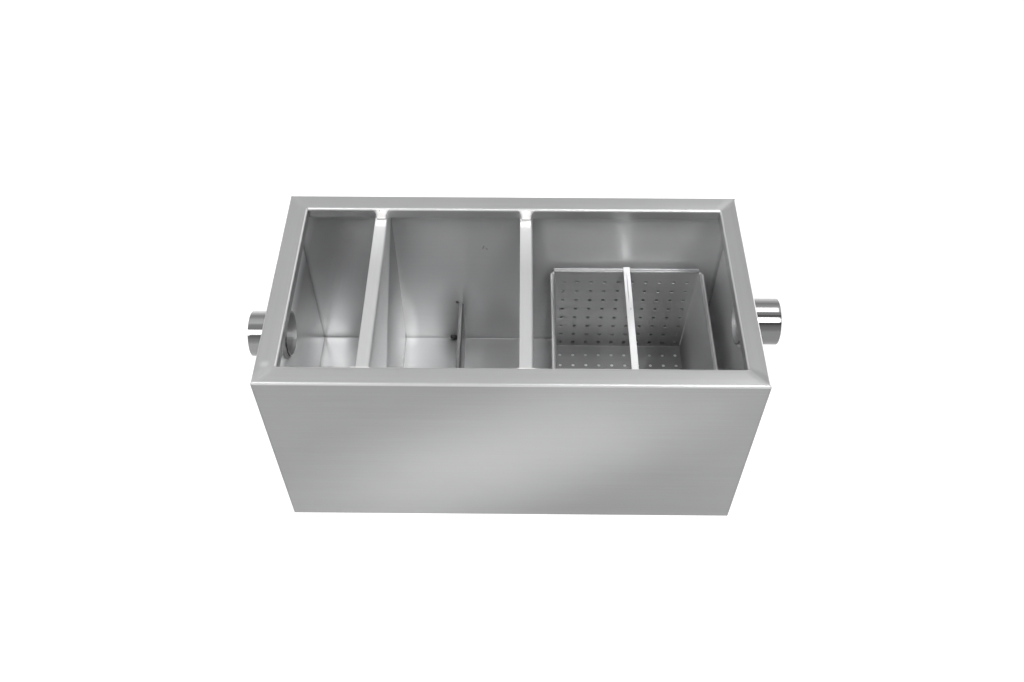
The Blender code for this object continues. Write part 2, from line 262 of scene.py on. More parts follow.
class Piece:
    """Collects a closed mesh, with a map whose first axis runs across the metal's grain."""

    def __init__(self):
        self.mesh = bmesh.new()
        self.map = self.mesh.loops.layers.uv.new("grain")
        self.places = {}

    def vert(self, place, across=0.0, along=0.0):
        made = self.mesh.verts.new(place)
        self.places[made] = (across, along)
        return made

    def face(self, *corners):
        made = self.mesh.faces.new(corners)
        for loop in made.loops:
            loop[self.map].uv = self.places[loop.vert]

    def skin(self, rings):
        """Faces between each ring of vertices and the next."""
        for ring, following in zip(rings, rings[1:]):
            for k in range(len(ring)):
                other = (k + 1) % len(ring)
                self.face(ring[k], ring[other], following[other], following[k])

    def slab(self, outer, inner, holes=()):
        """Faces over both sides of rows and columns and round their edges, but not over the holes."""
        last_row, last_column = len(outer) - 1, len(outer[0]) - 1
        for i in range(last_row):
            for j in range(last_column):
                if (i, j) not in holes:
                    self.face(*grid_cell(outer, i, j))
                    self.face(*grid_cell(inner, i, j))
            for j in (0, last_column):
                self.face(outer[i][j], inner[i][j], inner[i + 1][j], outer[i + 1][j])
        for j in range(last_column):
            for i in (0, last_row):
                self.face(outer[i][j], outer[i][j + 1], inner[i][j + 1], inner[i][j])

    def finish(self, name, material, replaced=None, sharp=32.0):
        bmesh.ops.recalc_face_normals(self.mesh, faces=self.mesh.faces)
        data = bpy.data.meshes.new(name)
        self.mesh.to_mesh(data)
        self.mesh.free()
        data.shade_smooth()
        data.set_sharp_from_angle(angle=math.radians(sharp))
        data.materials.append(material)
        made = bpy.data.objects.new(name, data)
        bpy.context.scene.collection.objects.link(made)
        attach(made, "root")
        if replaced:
            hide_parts(replaced)


def grid_cell(grid, i, j):
    return grid[i][j], grid[i][j + 1], grid[i + 1][j + 1], grid[i + 1][j]


def even(low, high, count):
    return [low + (high - low) * i / count for i in range(count + 1)]


def bent(corners, radius, turn, marks=()):
    """Rows of (point, outward normal, share of the way along a long flat) along a path with rounded corners.

    turn is 1 for a sheet that runs along X and -1 for one that runs along Y. Each flat is divided evenly,
    or at the marks that lie on it.
    """
    corners = [Vector(corner) for corner in corners]
    rows = []

    def facing(travel):
        return Vector((travel.y, -travel.x)) * turn

    def add_flat(start, end):
        along = end - start
        length = along.length
        travel = along / length
        on_it = sorted(
            (mark - start).dot(travel)
            for mark in map(Vector, marks)
            if abs((mark - start).cross(travel)) < 1e-5 and 1e-4 < (mark - start).dot(travel) < length - 1e-4
        )
        count = max(1, round(length / FLAT_SPACING))
        distances = [0.0] + (on_it or even(0.0, length, count)[1:-1]) + [length]
        for distance in distances:
            share = distance / length if length > 0.1 else 0.0
            rows.append((start + travel * distance, facing(travel), share))

    start = corners[0]
    for before, corner, after in zip(corners, corners[1:], corners[2:]):
        back = (before - corner).normalized()
        ahead = (after - corner).normalized()
        half_angle = back.angle(ahead) / 2
        if half_angle > math.radians(88):
            add_flat(start, corner)
            rows.pop()
            start = corner
            continue
        centre = corner + (back + ahead).normalized() * radius / math.sin(half_angle)
        first = corner + back * radius / math.tan(half_angle)
        last = corner + ahead * radius / math.tan(half_angle)
        add_flat(start, first)
        angle = math.atan2(first.y - centre.y, first.x - centre.x)
        swing = (math.atan2(last.y - centre.y, last.x - centre.x) - angle + math.pi) % math.tau - math.pi
        for step in range(1, BEND_STEPS):
            at = angle + swing * step / BEND_STEPS
            radial = Vector((math.cos(at), math.sin(at)))
            travel = Vector((-radial.y, radial.x)) * math.copysign(1, swing)
            rows.append((centre + radial * radius, facing(travel), 0.0))
        start = last
    add_flat(start, corners[-1])
    return rows


def along_x(run, point):
    return Vector((run, point.x, point.y))


def along_y(run, point):
    return Vector((point.x, run, point.y))


def sheet(piece, rows, place, columns, thickness, holes=None, wave=0.0, move=Vector(), seed=0.0):
    """A bent sheet: its outer face follows the rows, and columns(point) gives where its columns are along its run.

    holes maps (row, column) of a cell to the radius of the hole in it. wave is how far its long flats dip.
    """
    holes = holes or {}
    faces = []
    across = [0.0]
    for (point, _, _), (following, _, _) in zip(rows, rows[1:]):
        across.append(across[-1] + (following - point).length)
    for depth in (0.0, thickness):
        grid = []
        for (point, normal, share), distance in zip(rows, across):
            at = point - normal * depth
            runs = columns(at)
            row = []
            for index, run in enumerate(runs):
                dip = 0.0
                if wave and share:
                    spot = place(run, point)
                    swell = noise.noise(spot * 7.5 + Vector((seed, 0, 0)))
                    swell += 0.4 * noise.noise(spot * 19 + Vector((0, seed, 0)))
                    fade = math.sin(math.pi * share) * math.sin(math.pi * index / (len(runs) - 1))
                    dip = wave * (0.6 + 0.5 * swell) * fade ** 0.5
                row.append(piece.vert(place(run, at - normal * dip) + move, distance, run))
            grid.append(row)
        faces.append(grid)
    piece.slab(*faces, holes)
    for (i, j), radius in holes.items():
        punch(piece, [grid_cell(grid, i, j) for grid in faces], radius, thickness)


def punch(piece, cells, radius, thickness):
    """A round hole with slightly broken edges through one cell of a sheet, which is flat there."""
    steps = HOLE_STEPS if radius < 0.01 else PIPE_STEPS
    broken = min(0.00022, thickness * 0.3)
    eighth = steps // 8
    rings = []
    for side, (a, b, c, d) in enumerate(cells):
        centre = (a.co + b.co + c.co + d.co) / 4
        run = (b.co - a.co).normalized()
        travel = (d.co - a.co).normalized()
        inward = (cells[1 - side][0].co - a.co).normalized()
        middle_across = (piece.places[a][0] + piece.places[d][0]) / 2
        middle_along = (piece.places[a][1] + piece.places[b][1]) / 2
        surface, below = [], []
        for k in range(steps):
            angle = math.tau * k / steps
            cosine, sine = math.cos(angle), math.sin(angle)
            for ring, reach, sunk in ((surface, radius + broken, 0.0), (below, radius, broken)):
                spot = centre + (run * cosine + travel * sine) * reach + inward * sunk
                ring.append(piece.vert(spot, middle_across + sine * reach, middle_along + cosine * reach))
        for first, second, start in ((a, b, 5), (b, c, 7), (c, d, 1), (d, a, 3)):
            arc = [surface[(start * eighth + step) % steps] for step in range(2 * eighth + 1)]
            piece.face(first, second, *reversed(arc))
        rings.append((surface, below))
    (top, top_below), (bottom, bottom_below) = rings
    piece.skin([top, top_below, bottom_below, bottom])


def both_halves(back):
    """The corners of a section from front to back, given those of its back half."""
    return [(-y, z) for y, z in back] + back[::-1]


def reach_in(at, half, bend, inset):
    """How far a sheet's section reaches between two walls, whose bends into the floor it follows."""
    drop = bend - at.y
    if drop <= 0:
        return half - inset
    return half - bend + math.sqrt(max(0.0, (bend - inset) ** 2 - drop * drop))


# Tank

def in_rim(at, lip):
    """Whether a point of a tank panel's section lies in its rim, its lip or the bend between rim and wall."""
    return at.y > TANK_HEIGHT - TANK_BEND or (at.y > LIP_BOTTOM - SEAM and abs(at.x) < lip + 0.01)


def tank_shell(material):
    inner = HALF_DEPTH - RIM_LONG
    back = [(inner, LIP_BOTTOM), (inner, TANK_HEIGHT), (HALF_DEPTH, TANK_HEIGHT), (HALF_DEPTH, 0)]
    rows = bent(both_halves(back), TANK_BEND, 1)

    def columns(at):
        mitre = (HALF_DEPTH - abs(at.x)) / RIM_LONG if in_rim(at, inner) else 0.0
        return even(-HALF_LENGTH + mitre * RIM_LEFT, HALF_LENGTH - mitre * RIM_RIGHT, 48)

    piece = Piece()
    sheet(piece, rows, along_x, columns, TANK_SHEET, wave=0.00028, seed=3.1)
    piece.finish("tank_shell", material, "tank_body")


def end_panel(name, node, side, rim, pipe_height, material):
    outer = side * HALF_LENGTH
    inner = side * (HALF_LENGTH - rim)
    corners = [(inner, LIP_BOTTOM), (inner, TANK_HEIGHT), (outer, TANK_HEIGHT), (outer, INSET)]
    if side < 0:
        corners.reverse()
    room = 0.037
    heights = (pipe_height + room, pipe_height - room, 0.13, 0.10, 0.07, 0.04, 0.012, TANK_BEND)
    rows = bent(corners, TANK_BEND, -1, marks=[(outer, height) for height in heights])

    def columns(at):
        far = reach_in(at, HALF_DEPTH, TANK_BEND, INSET)
        if in_rim(at, abs(inner)):
            far = min(far, HALF_DEPTH - (HALF_LENGTH - abs(at.x)) / rim * RIM_LONG - 1.5 * SEAM)
        return [-far, -0.12, -0.095, -0.065, -room, room, 0.065, 0.095, 0.12, far]

    cell = next(
        i
        for i, (first, second) in enumerate(zip(rows, rows[1:]))
        if abs((first[0].y + second[0].y) / 2 - pipe_height) < 1e-4 and abs(first[0].x - outer) < 1e-6
    )
    piece = Piece()
    sheet(piece, rows, along_y, columns, TANK_SHEET, holes={(cell, 4): PIPE_RADIUS + SEAM})
    piece.finish(name, material, node)


def chamber_plate(name, node, face_x, flange, top, bottom, material, wave, seed):
    rows = bent([(face_x - flange, top), (face_x, top), (face_x, bottom)], TANK_BEND, -1)

    def columns(at):
        reach = reach_in(at, HALF_DEPTH, TANK_BEND, INSET)
        return even(-reach, reach, 28)

    piece = Piece()
    sheet(piece, rows, along_y, columns, TANK_SHEET, wave=wave, seed=seed)
    piece.finish(name, material, node)


# Pipes and their welds

def tube(name, node, side, height, material):
    """A stub of polished tube with softly broken edges."""
    edge = 0.0005
    section = [(PIPE_START, PIPE_BORE), (PIPE_START, PIPE_RADIUS)]
    section += [(x, PIPE_RADIUS) for x in even(PIPE_START + 0.004, PIPE_END - edge, 10)]
    section += [
        (PIPE_END - edge * (1 - math.sin(a)), PIPE_RADIUS - edge * (1 - math.cos(a)))
        for a in even(0.3, math.pi / 2, 4)
    ]
    section += [
        (PIPE_END - edge * (1 - math.cos(a)), PIPE_BORE + edge * (1 - math.sin(a)))
        for a in even(0, math.pi / 2 - 0.3, 4)
    ]
    section += [(x, PIPE_BORE) for x in even(PIPE_END - edge, PIPE_START + 0.004, 6)]
    piece = Piece()
    lathe(piece, [(side * x, r) for x, r in section], height, PIPE_STEPS)
    piece.finish(name, material, node)


def lathe(piece, section, height, steps, wobble=None):
    rings = []
    across = 0.0
    before = section[0]
    for index, (x, radius) in enumerate(section):
        across += math.hypot(x - before[0], radius - before[1])
        before = (x, radius)
        ring = []
        for k in range(steps):
            angle = math.tau * k / steps
            grown_x, grown_radius = wobble(index, x, radius, angle) if wobble else (x, radius)
            spot = (grown_x, -grown_radius * math.sin(angle), height + grown_radius * math.cos(angle))
            ring.append(piece.vert(spot, across, angle * PIPE_RADIUS))
        rings.append(ring)
    piece.skin(rings + rings[:1])


def fillet(name, node, face, direction, height, leg, seed, material):
    """A hand-run fillet weld round a pipe: overlapping ripples, wider and narrower in turn."""
    section = [(face, PIPE_RADIUS - 0.0002)]
    for angle in even(0, math.pi / 2, 7):
        out, up = math.sin(angle) ** 0.9, math.cos(angle) ** 0.9
        section.append((face + direction * leg * out, PIPE_RADIUS + leg * up))
    section.append((face + direction * leg, PIPE_RADIUS - 0.0002))

    def wobble(index, x, radius, angle):
        if index in (0, len(section) - 1):
            return x, radius
        cosine, sine = math.cos(angle), math.sin(angle)
        ripple = abs(math.sin(angle * 29 + 1.2 * noise.noise(Vector((cosine * 3, sine * 3, seed)))))
        size = 0.80 + 0.16 * ripple + 0.22 * noise.noise(Vector((cosine * 4, seed, sine * 4)))
        return face + (x - face) * size, PIPE_RADIUS + (radius - PIPE_RADIUS) * size

    piece = Piece()
    lathe(piece, section, height, 360, wobble)
    piece.finish(name, material, node, sharp=60)


def ribbon(piece, path, width, height, ripple, pitch, seed):
    """A low weld seam along a path of (place, outward normal): a shallow dome that tapers at both ends."""
    rings = []
    sides = 6
    travelled = 0.0
    count = len(path)
    for index, (place, normal) in enumerate(path):
        before = path[max(0, index - 1)][0]
        after = path[min(count - 1, index + 1)][0]
        travel = (after - before).normalized()
        if index:
            travelled += (place - path[index - 1][0]).length
        side = travel.cross(normal).normalized()
        taper = min(1.0, 0.35 + index * 0.3, 0.35 + (count - 1 - index) * 0.3)
        beat = abs(math.sin(math.pi * travelled / pitch))
        drift = noise.noise(Vector((travelled * 160, seed, 0.5)))
        half = width / 2 * taper * (1 + 0.22 * drift + ripple * 0.5 * (beat - 0.5))
        rise = height * taper * (1 + 0.25 * drift + ripple * (beat - 0.5))
        ring = []
        for k in range(sides + 1):
            angle = math.pi * k / sides
            spot = place + side * half * math.cos(angle) + normal * rise * math.sin(angle)
            ring.append(piece.vert(spot, k, travelled))
        ring.append(piece.vert(place - normal * 0.0004, 0, travelled))
        rings.append(ring)
    piece.skin(rings)
    piece.face(*rings[0])
    piece.face(*rings[-1])


def tack(piece, place, normal, radius, height, seed):
    """A small round tack weld or blob, low and uneven."""
    normal = Vector(normal).normalized()
    side = normal.orthogonal().normalized()
    other = normal.cross(side)
    place = Vector(place)
    top = piece.vert(place + normal * height)
    rings = []
    steps = 20
    for level in (0.35, 0.7, 1.0, 1.0):
        ring = []
        sunk = len(rings) == 3
        rise = -0.0004 if sunk else height * math.cos(level * math.pi / 2) ** 0.8
        for k in range(steps):
            angle = math.tau * k / steps
            uneven = 1 + 0.18 * noise.noise(Vector((math.cos(angle) * 2, math.sin(angle) * 2, seed)))
            spot = place + (side * math.cos(angle) + other * math.sin(angle)) * radius * level * uneven
            ring.append(piece.vert(spot + normal * rise, level, angle))
        rings.append(ring)
    for k in range(steps):
        piece.face(top, rings[0][k], rings[0][(k + 1) % steps])
    piece.skin(rings)
    piece.face(*reversed(rings[-1]))


def corner_weld(name, side_x, side_y, rim, material):
    """The ground weld of a corner: across the rim's mitre, over its bend and down the tank's upright edge."""
    up = Vector((0, 0, 1))
    diagonal = Vector((side_x * rim, side_y * RIM_LONG, 0))
    corner = Vector((side_x * HALF_LENGTH, side_y * HALF_DEPTH, 0))
    outwards = diagonal.normalized()
    path = [
        (corner - diagonal * back + up * (TANK_HEIGHT - 0.00006), up) for back in even(0.99, TANK_BEND / RIM_LONG, 40)
    ]
    for angle in even(0, math.pi / 2, 8)[1:]:
        back = TANK_BEND * (1 - math.sin(angle)) / RIM_LONG
        place = corner - diagonal * back + up * (TANK_HEIGHT - TANK_BEND + TANK_BEND * math.cos(angle))
        normal = (up * math.cos(angle) + outwards * math.sin(angle)).normalized()
        path.append((place - normal * 0.0003, normal))
    for height in even(TANK_HEIGHT - TANK_BEND, 0.004, 160)[1:-1]:
        path.append((corner - outwards * 0.00062 + up * height, outwards))
    piece = Piece()
    ribbon(piece, path, 0.0022, 0.00016, ripple=0.1, pitch=0.003, seed=side_x + side_y * 2.5)
    piece.finish(name, material, sharp=70)


def bar_end_weld(name, node, face_x, side, material):
    """The weld at a bar's end: a bead in the corner, dressed into a patch that spreads up the lip."""
    lip = HALF_DEPTH - RIM_LONG
    middle = face_x - PARTITION_FLANGE / 2
    base = FLANGE_TOP + SEAM
    piece = Piece()
    heights = even(0, 0.0146, 18)
    columns = 22
    front, back = [], []
    for height in heights:
        share = height / heights[-1]
        half = 0.0066 + 0.0046 * share ** 2.6
        proud = 0.0036 * math.exp(-height / 0.0040) + 0.00012
        ring, hidden = [], []
        for k in range(columns + 1):
            across = 2 * k / columns - 1
            rounded = max(0.0, 1 - abs(across) ** 16)
            uneven = 1 + 0.05 * noise.noise(Vector((across * 2, height * 150, face_x * 50)))
            x = middle + across * half
            y = lip - (proud * uneven * rounded + 0.00002)
            ring.append(piece.vert((x, side * y, base + height), height, x))
            hidden.append(piece.vert((x, side * (lip + 0.0006), base + height), height, x))
        front.append(ring)
        back.append(hidden)
    piece.slab(front, back)
    piece.finish(name, material, node, sharp=60)


# Basket

def basket_half_width(height):
    return BASKET_HALF_WIDTH - BASKET_TAPER * (1 - height / (BASKET_TOP + BASKET_SHEET))


def basket_sleeve(material):
    """Front, floor and back of the basket, with every hole punched."""
    room = 0.0045
    hole_x = [(i - (HOLE_COLUMNS - 1) / 2) * HOLE_PITCH for i in range(HOLE_COLUMNS)]
    hole_y = [(i - (FLOOR_HOLE_ROWS - 1) / 2) * HOLE_PITCH for i in range(FLOOR_HOLE_ROWS)]
    hole_z = [0.010 + i * HOLE_PITCH for i in range(HOLE_ROWS)]
    marks = [(side * BASKET_HALF_DEPTH, z + d) for side in (-1, 1) for z in hole_z for d in (-room, room)]
    marks += [(y + d, 0) for y in hole_y for d in (-room, room)]
    back = [(BASKET_HALF_DEPTH + BASKET_FLANGE, BASKET_TOP), (BASKET_HALF_DEPTH, BASKET_TOP), (BASKET_HALF_DEPTH, 0)]
    rows = bent(both_halves(back), BASKET_BEND, 1, marks=marks)

    def columns(at):
        reach = basket_half_width(at.y)
        return [-reach] + [x + d for x in hole_x for d in (-room, room)] + [reach]

    def near_any(value, places):
        return any(abs(value - place) < 1e-4 for place in places)

    holes = {}
    for i, ((point, _, _), (following, _, _)) in enumerate(zip(rows, rows[1:])):
        middle = (point + following) / 2
        length = (following - point).length
        on_wall = abs(abs(middle.x) - BASKET_HALF_DEPTH) < 1e-5 and near_any(middle.y, hole_z)
        on_floor = abs(middle.y) < 1e-5 and near_any(middle.x, hole_y)
        if abs(length - 2 * room) < 1e-5 and (on_wall or on_floor):
            for j in range(HOLE_COLUMNS):
                holes[i, 2 * j + 1] = HOLE_RADIUS
    piece = Piece()
    sheet(piece, rows, along_x, columns, BASKET_SHEET, holes=holes, move=BASKET_CENTRE)
    piece.finish("strainer_sleeve", material, "basket_sleeve")


def basket_end(name, node, side, material):
    shoulder = BASKET_TOP - 2 * BASKET_BEND
    inset = BASKET_SHEET + SEAM / 2
    upper = side * basket_half_width(BASKET_TOP)
    corners = [
        (upper + side * BASKET_FLANGE, BASKET_TOP),
        (upper, BASKET_TOP),
        (side * basket_half_width(shoulder), shoulder),
        (side * basket_half_width(inset), inset),
    ]
    if side < 0:
        corners.reverse()
    rows = bent(corners, BASKET_BEND, -1)

    def columns(at):
        reach = reach_in(at, BASKET_HALF_DEPTH, BASKET_BEND, inset)
        if at.y > shoulder + SEAM:
            reach = BASKET_HALF_DEPTH - BASKET_NOTCH
        return even(-reach, reach, 20)

    piece = Piece()
    sheet(piece, rows, along_y, columns, BASKET_SHEET, move=BASKET_CENTRE, wave=0.0003, seed=side * 4.2)
    piece.finish(name, material, node)


def basket_seams(material):
    """A thin weld down each upright corner of the basket, and tacks where its flanges meet."""
    for side_x, x_name in ((-1, "left"), (1, "right")):
        for side_y, y_name in ((-1, "front"), (1, "back")):
            piece = Piece()
            normal = Vector((-side_x, -side_y, 0)).normalized()
            inner_y = side_y * (BASKET_HALF_DEPTH - BASKET_SHEET - 0.0002)
            path = [
                (BASKET_CENTRE + Vector((side_x * (basket_half_width(z) - 0.0012), inner_y, z)), normal)
                for z in even(0.004, 0.164, 178)
            ]
            ribbon(piece, path, 0.0019, 0.0006, ripple=0.35, pitch=0.0026, seed=side_x + 3 * side_y)
            corner_x = side_x * (basket_half_width(BASKET_TOP) + 0.0012)
            corner = Vector((corner_x, side_y * (BASKET_HALF_DEPTH - 0.0022), BASKET_TOP - 0.0006))
            tack(piece, BASKET_CENTRE + corner, (0, 0, 1), 0.0021, 0.0009, seed=side_x * 3 + side_y)
            piece.finish(f"strainer_seam_{x_name}_{y_name}", material, sharp=70)


def basket_handle(material):
    """A flat bar with rounded edges, very slightly bowed between its welded ends."""
    half = BASKET_HALF_DEPTH + BASKET_FLANGE
    base = BASKET_TOP + BASKET_SHEET + SEAM
    middle = HANDLE_THICKNESS / 2
    corner = 0.0007
    section = []
    for turn, (x, z) in enumerate(((1, 1), (-1, 1), (-1, -1), (1, -1))):
        centre = Vector((x * (HANDLE_WIDTH / 2 - corner), z * (HANDLE_THICKNESS / 2 - corner)))
        for i in range(5):
            angle = math.pi / 2 * (turn + i / 4)
            section.append(centre + Vector((math.cos(angle), math.sin(angle))) * corner)
    piece = Piece()
    rings = []
    for y in even(-half, half, 60):
        sag = 0.0003 * noise.noise(Vector((y * 14, 0.4, 7.7)))
        spots = [BASKET_CENTRE + Vector((p.x + sag, y, base + middle + p.y)) for p in section]
        rings.append([piece.vert(spot, k * 0.001, y) for k, spot in enumerate(spots)])
    piece.skin(rings)
    piece.face(*rings[0])
    piece.face(*reversed(rings[-1]))
    piece.finish("strainer_handle", material, "basket_handle", sharp=50)


# Worn and ground places, scuffs, and patches of painted light and shade

STRAIGHT = (0, 0, 0)


def tone_patch(centre, radii, turn, tone, rough, **more):
    """A patch, turned by degrees about X, Y and Z, with what it adds to the tone and to the roughness."""
    return dict(centre=centre, radii=radii, turn=[math.radians(angle) for angle in turn], **more), tone, rough


def painted_light_and_roughness(centre, radii, tone, rough, edge, ragged):
    """A broad soft patch inside the tank: painted light and shade, and roughness."""
    return tone_patch(centre, radii, STRAIGHT, tone, rough, edge=edge, ragged=ragged, ragged_scale=20.0, inside=True)


TANK_PATCHES = [
    tone_patch((-0.288, -0.143, 0.304), (0.020, 0.009, 0.012), (0, 0, 45), 0.05, 0.08),
    tone_patch((-0.2875, -0.130, 0.304), (0.0075, 0.0075, 0.004), STRAIGHT, 0.16, 0.10, edge=0.0),
    tone_patch((0.288, -0.143, 0.304), (0.021, 0.010, 0.012), (0, 0, -45), -0.06, 0.10),
    tone_patch((0.284, 0.143, 0.304), (0.024, 0.008, 0.012), (0, 0, 45), 0.06, 0.06),
    tone_patch((-0.288, 0.145, 0.304), (0.016, 0.007, 0.010), (0, 0, -45), 0.02, 0.05),
]

# The tank's inside: a scuff, painted light in the outlet chamber, painted shade on both sides of the baffle, a
# painted light stripe beside the outlet partition, and painted shade low in the inlet chamber, which is rougher
# and a little darker higher up
SHELL_PATCHES = TANK_PATCHES + [
    tone_patch((-0.0418, 0.158, 0.2072), (0.0019, 0.006, 0.0058), (0, 18, 0), -0.30, 0.10, inside=True),
    tone_patch((-0.0372, 0.158, 0.2040), (0.0017, 0.006, 0.0046), (0, -35, 0), -0.26, 0.10, inside=True),
    # Painted light in the outlet chamber
    painted_light_and_roughness((-0.236, 0.150, 0.100), (0.080, 0.240, 0.240), 0.21, 0.0, 0.8, 0.04),
    # Painted shade between the baffle and the inlet partition
    painted_light_and_roughness((-0.018, 0.120, 0.000), (0.054, 0.400, 0.120), -0.16, 0.03, 0.4, 0.06),
    # Painted shade left of the baffle
    painted_light_and_roughness((-0.084, 0.158, 0.030), (0.044, 0.060, 0.120), -0.27, 0.0, 0.2, 0.05),
    # A painted light stripe beside the outlet partition
    painted_light_and_roughness((-0.159, 0.158, 0.040), (0.015, 0.030, 0.085), 0.20, 0.0, 0.2, 0.05),
    # Painted shade low in the inlet chamber
    painted_light_and_roughness((0.165, 0.158, 0.030), (0.150, 0.060, 0.130), -0.28, 0.04, 0.5, 0.04),
    painted_light_and_roughness((0.165, 0.158, 0.200), (0.150, 0.020, 0.150), -0.02, 0.17, 0.8, 0.04),
]

# The outlet panel's inner face is lighter in a streak beside its pipe, and painted shade darkens it low down
OUTLET_PATCHES = [
    tone_patch((-0.2988, 0.0325, 0.196), (0.003, 0.026, 0.0048), (32, 0, 0), 0.30, 0.05, edge=0.0),
    # Painted shade low on the inner face
    painted_light_and_roughness((-0.299, 0.0, 0.0), (0.010, 0.40, 0.20), -0.20, 0.0, 0.4, 0.02),
]

# The handle is darker along a thin line in its back part and at one spot
HANDLE_PATCHES = [
    tone_patch((0.1636, 0.108, 0.1755), (0.0011, 0.042, 0.003), STRAIGHT, -0.42, 0.05, edge=0.5, ragged=0.1),
    tone_patch((0.1652, 0.069, 0.1755), (0.0022, 0.0035, 0.003), STRAIGHT, -0.22, 0.10, edge=0.3, ragged=0.2),
]


def tube_patches(side, height):
    """A tube is duller in its bore and at its end inside the tank."""
    return [
        tone_patch((side * 0.318, 0, height), (0.5, 0.0295, 0.0295), STRAIGHT, 0.0, 0.25, edge=0.965, ragged=0.0),
        tone_patch((side * 0.290, 0, height), (0.0095, 0.06, 0.06), STRAIGHT, 0.0, 0.20, edge=0.8, ragged=0.0),
    ]


# Tones of the sheets' zones, most of them painted light and shade
# Painted light and shade on the tank: darker outside, a lighter band, painted shade on the lip, a lighter inside
OUTSIDE_LOW = 0.285
OUTSIDE_HIGH = 0.465
RIM_TONE = 0.485
LIP_TONE = 0.50
INSIDE_TONE = 0.78
INSIDE_SMOOTHER = 0.045
# Painted highlight along the partitions' tops, brightest at the back, and painted shade low on their plates
BAR_BACK = 0.96
BAR_MIDDLE = 0.69
BAR_FRONT = 0.67
PLATE_TONE = 0.98
PLATE_LOW_BACK = 0.36
PLATE_LOW_FRONT = 0.22
# The pipes' bores are painted pale, painted light in a recess
OUTLET_BORE_TONE = 0.46
INLET_BORE_TONE = 0.60
WEIR_TONE = 0.46
WEIR_TOP_TONE = 0.25
# Painted shade low on the basket's walls and painted light on its flanges
BASKET_TONE = 0.69
BASKET_LOW_TONE = 0.27
BASKET_RIM_TONE = 0.66
BASKET_BEND_TONE = 0.36
CORNER_SHADE = 0.0075


def tank_zones(axis, rim_tone, inside_tones, corner_depth, foot_depth, bright_bends, bend_tones):
    """Painted shade and light: a darker outer face with a broad lighter reflection band, and the lightest inside.

    axis is the one that the panel's faces look along. inside_tones are those of the lower and the upper part of
    the inside; the lip under the rim is painted shade. The upright corners inside get painted shade by corner_depth
    and the foot by foot_depth. The bends of the rim between two places carry a painted highlight, with tones for the
    inner bend on either side of the middle and for the outer bend.
    """
    skin, hidden, corner = (HALF_DEPTH, HALF_LENGTH, "X") if axis == "Y" else (HALF_LENGTH, HALF_DEPTH, "Y")
    shoulder = TANK_HEIGHT - TANK_BEND

    def tone(shade):
        place = shade.along(axis)
        height = shade.along("Z")
        # The outer face is painted darker, with a broad lighter painted reflection band across it
        turn = (0, math.radians(-30), 0)
        sweep = shade.patch((-0.02, 0, 0.14), (0.43, 0.7, 0.175), turn, edge=0.05, ragged=0.04, ragged_scale=9.0)
        outer_tone = shade.math("MULTIPLY_ADD", sweep, OUTSIDE_HIGH - OUTSIDE_LOW, OUTSIDE_LOW)
        outside = shade.ranged(shade.math("ABSOLUTE", place), skin - 0.0008, skin - 0.0004)
        outer = shade.math("MAXIMUM", outside, shade.ranged(height, 0.0008, 0.0004))
        inner = shade.math("SUBTRACT", 1.0, outer)
        shade.smoother = shade.math("MULTIPLY", inner, shade.ranged(height, 0.300, 0.298))
        shade.polish = shade.smoother
        if axis == "Y":
            cleaner = shade.ranged(shade.along("X"), OUTLET_PARTITION_X, OUTLET_PARTITION_X - 0.0008, 1.0, 3.3)
            shade.polish = shade.math("MULTIPLY", shade.smoother, cleaner)
        # The inside is painted lighter; the outlet panel's lower inside and the lip under the rim are painted shade
        inside = shade.ranged(height, 0.175, 0.208, *inside_tones)
        inside = shade.blend(shade.ranged(height, LIP_BOTTOM - 0.002, LIP_BOTTOM), inside, LIP_TONE)
        walls = shade.blend(outer, inside, outer_tone)
        # Painted shade in the upright corners inside and at the foot
        far = shade.math("ABSOLUTE", shade.along(corner))
        for near, depth in (
            (shade.ranged(far, hidden - CORNER_SHADE, hidden - CORNER_SHADE * 0.4), corner_depth),
            (shade.ranged(height, 0.0055, 0.0022), foot_depth),
        ):
            near_inside = shade.math("MULTIPLY", near, inner)
            walls = shade.math("MULTIPLY", walls, shade.math("MULTIPLY_ADD", near_inside, -depth, 1.0))
        body = shade.blend(shade.ranged(height, shoulder + 0.0005, TANK_HEIGHT - 0.0008), walls, rim_tone)
        # A painted highlight along the rim's bends between two places
        first, last = bright_bends
        bend = shade.ranged(height, shoulder - 0.0004, shoulder + 0.0008)
        for within in (
            shade.ranged(height, TANK_HEIGHT - 0.00015, TANK_HEIGHT - 0.0007),
            shade.ranged(place, first - 0.001, first),
            shade.ranged(place, last + 0.001, last),
        ):
            bend = shade.math("MULTIPLY", bend, within)
        low_side, high_side, outer_bend = bend_tones
        inner_bend = shade.ranged(place, -0.01, 0.01, low_side, high_side)
        painted_bend_highlight = shade.ranged(shade.math("ABSOLUTE", place), skin - 0.014, skin - 0.012, inner_bend, outer_bend)
        return shade.blend(bend, body, painted_bend_highlight)

    return tone


def bar_zones(shade):
    """Painted highlight on a partition's folded top, brightest at its back; painted shade on its plate below a slant.
    """
    height = shade.along("Z")
    back = shade.along("Y")
    # Painted highlight along the folded top, brightest at its back end
    bar = shade.ranged(back, 0.03, 0.125, BAR_MIDDLE, BAR_BACK)
    bar = shade.math("ADD", bar, shade.ranged(back, -0.01, -0.10, 0.0, BAR_FRONT - BAR_MIDDLE))
    # Painted shade on the plate below a slanting line
    above_line = shade.math("SUBTRACT", height, shade.math("MULTIPLY_ADD", back, 0.6, 0.1826))
    low = shade.ranged(back, 0.02, 0.13, PLATE_LOW_FRONT, PLATE_LOW_BACK)
    plate = shade.blend(shade.ranged(above_line, -0.016, 0.006), low, PLATE_TONE)
    return shade.blend(shade.ranged(height, FLANGE_TOP - TANK_BEND, FLANGE_TOP - 0.0006), plate, bar)


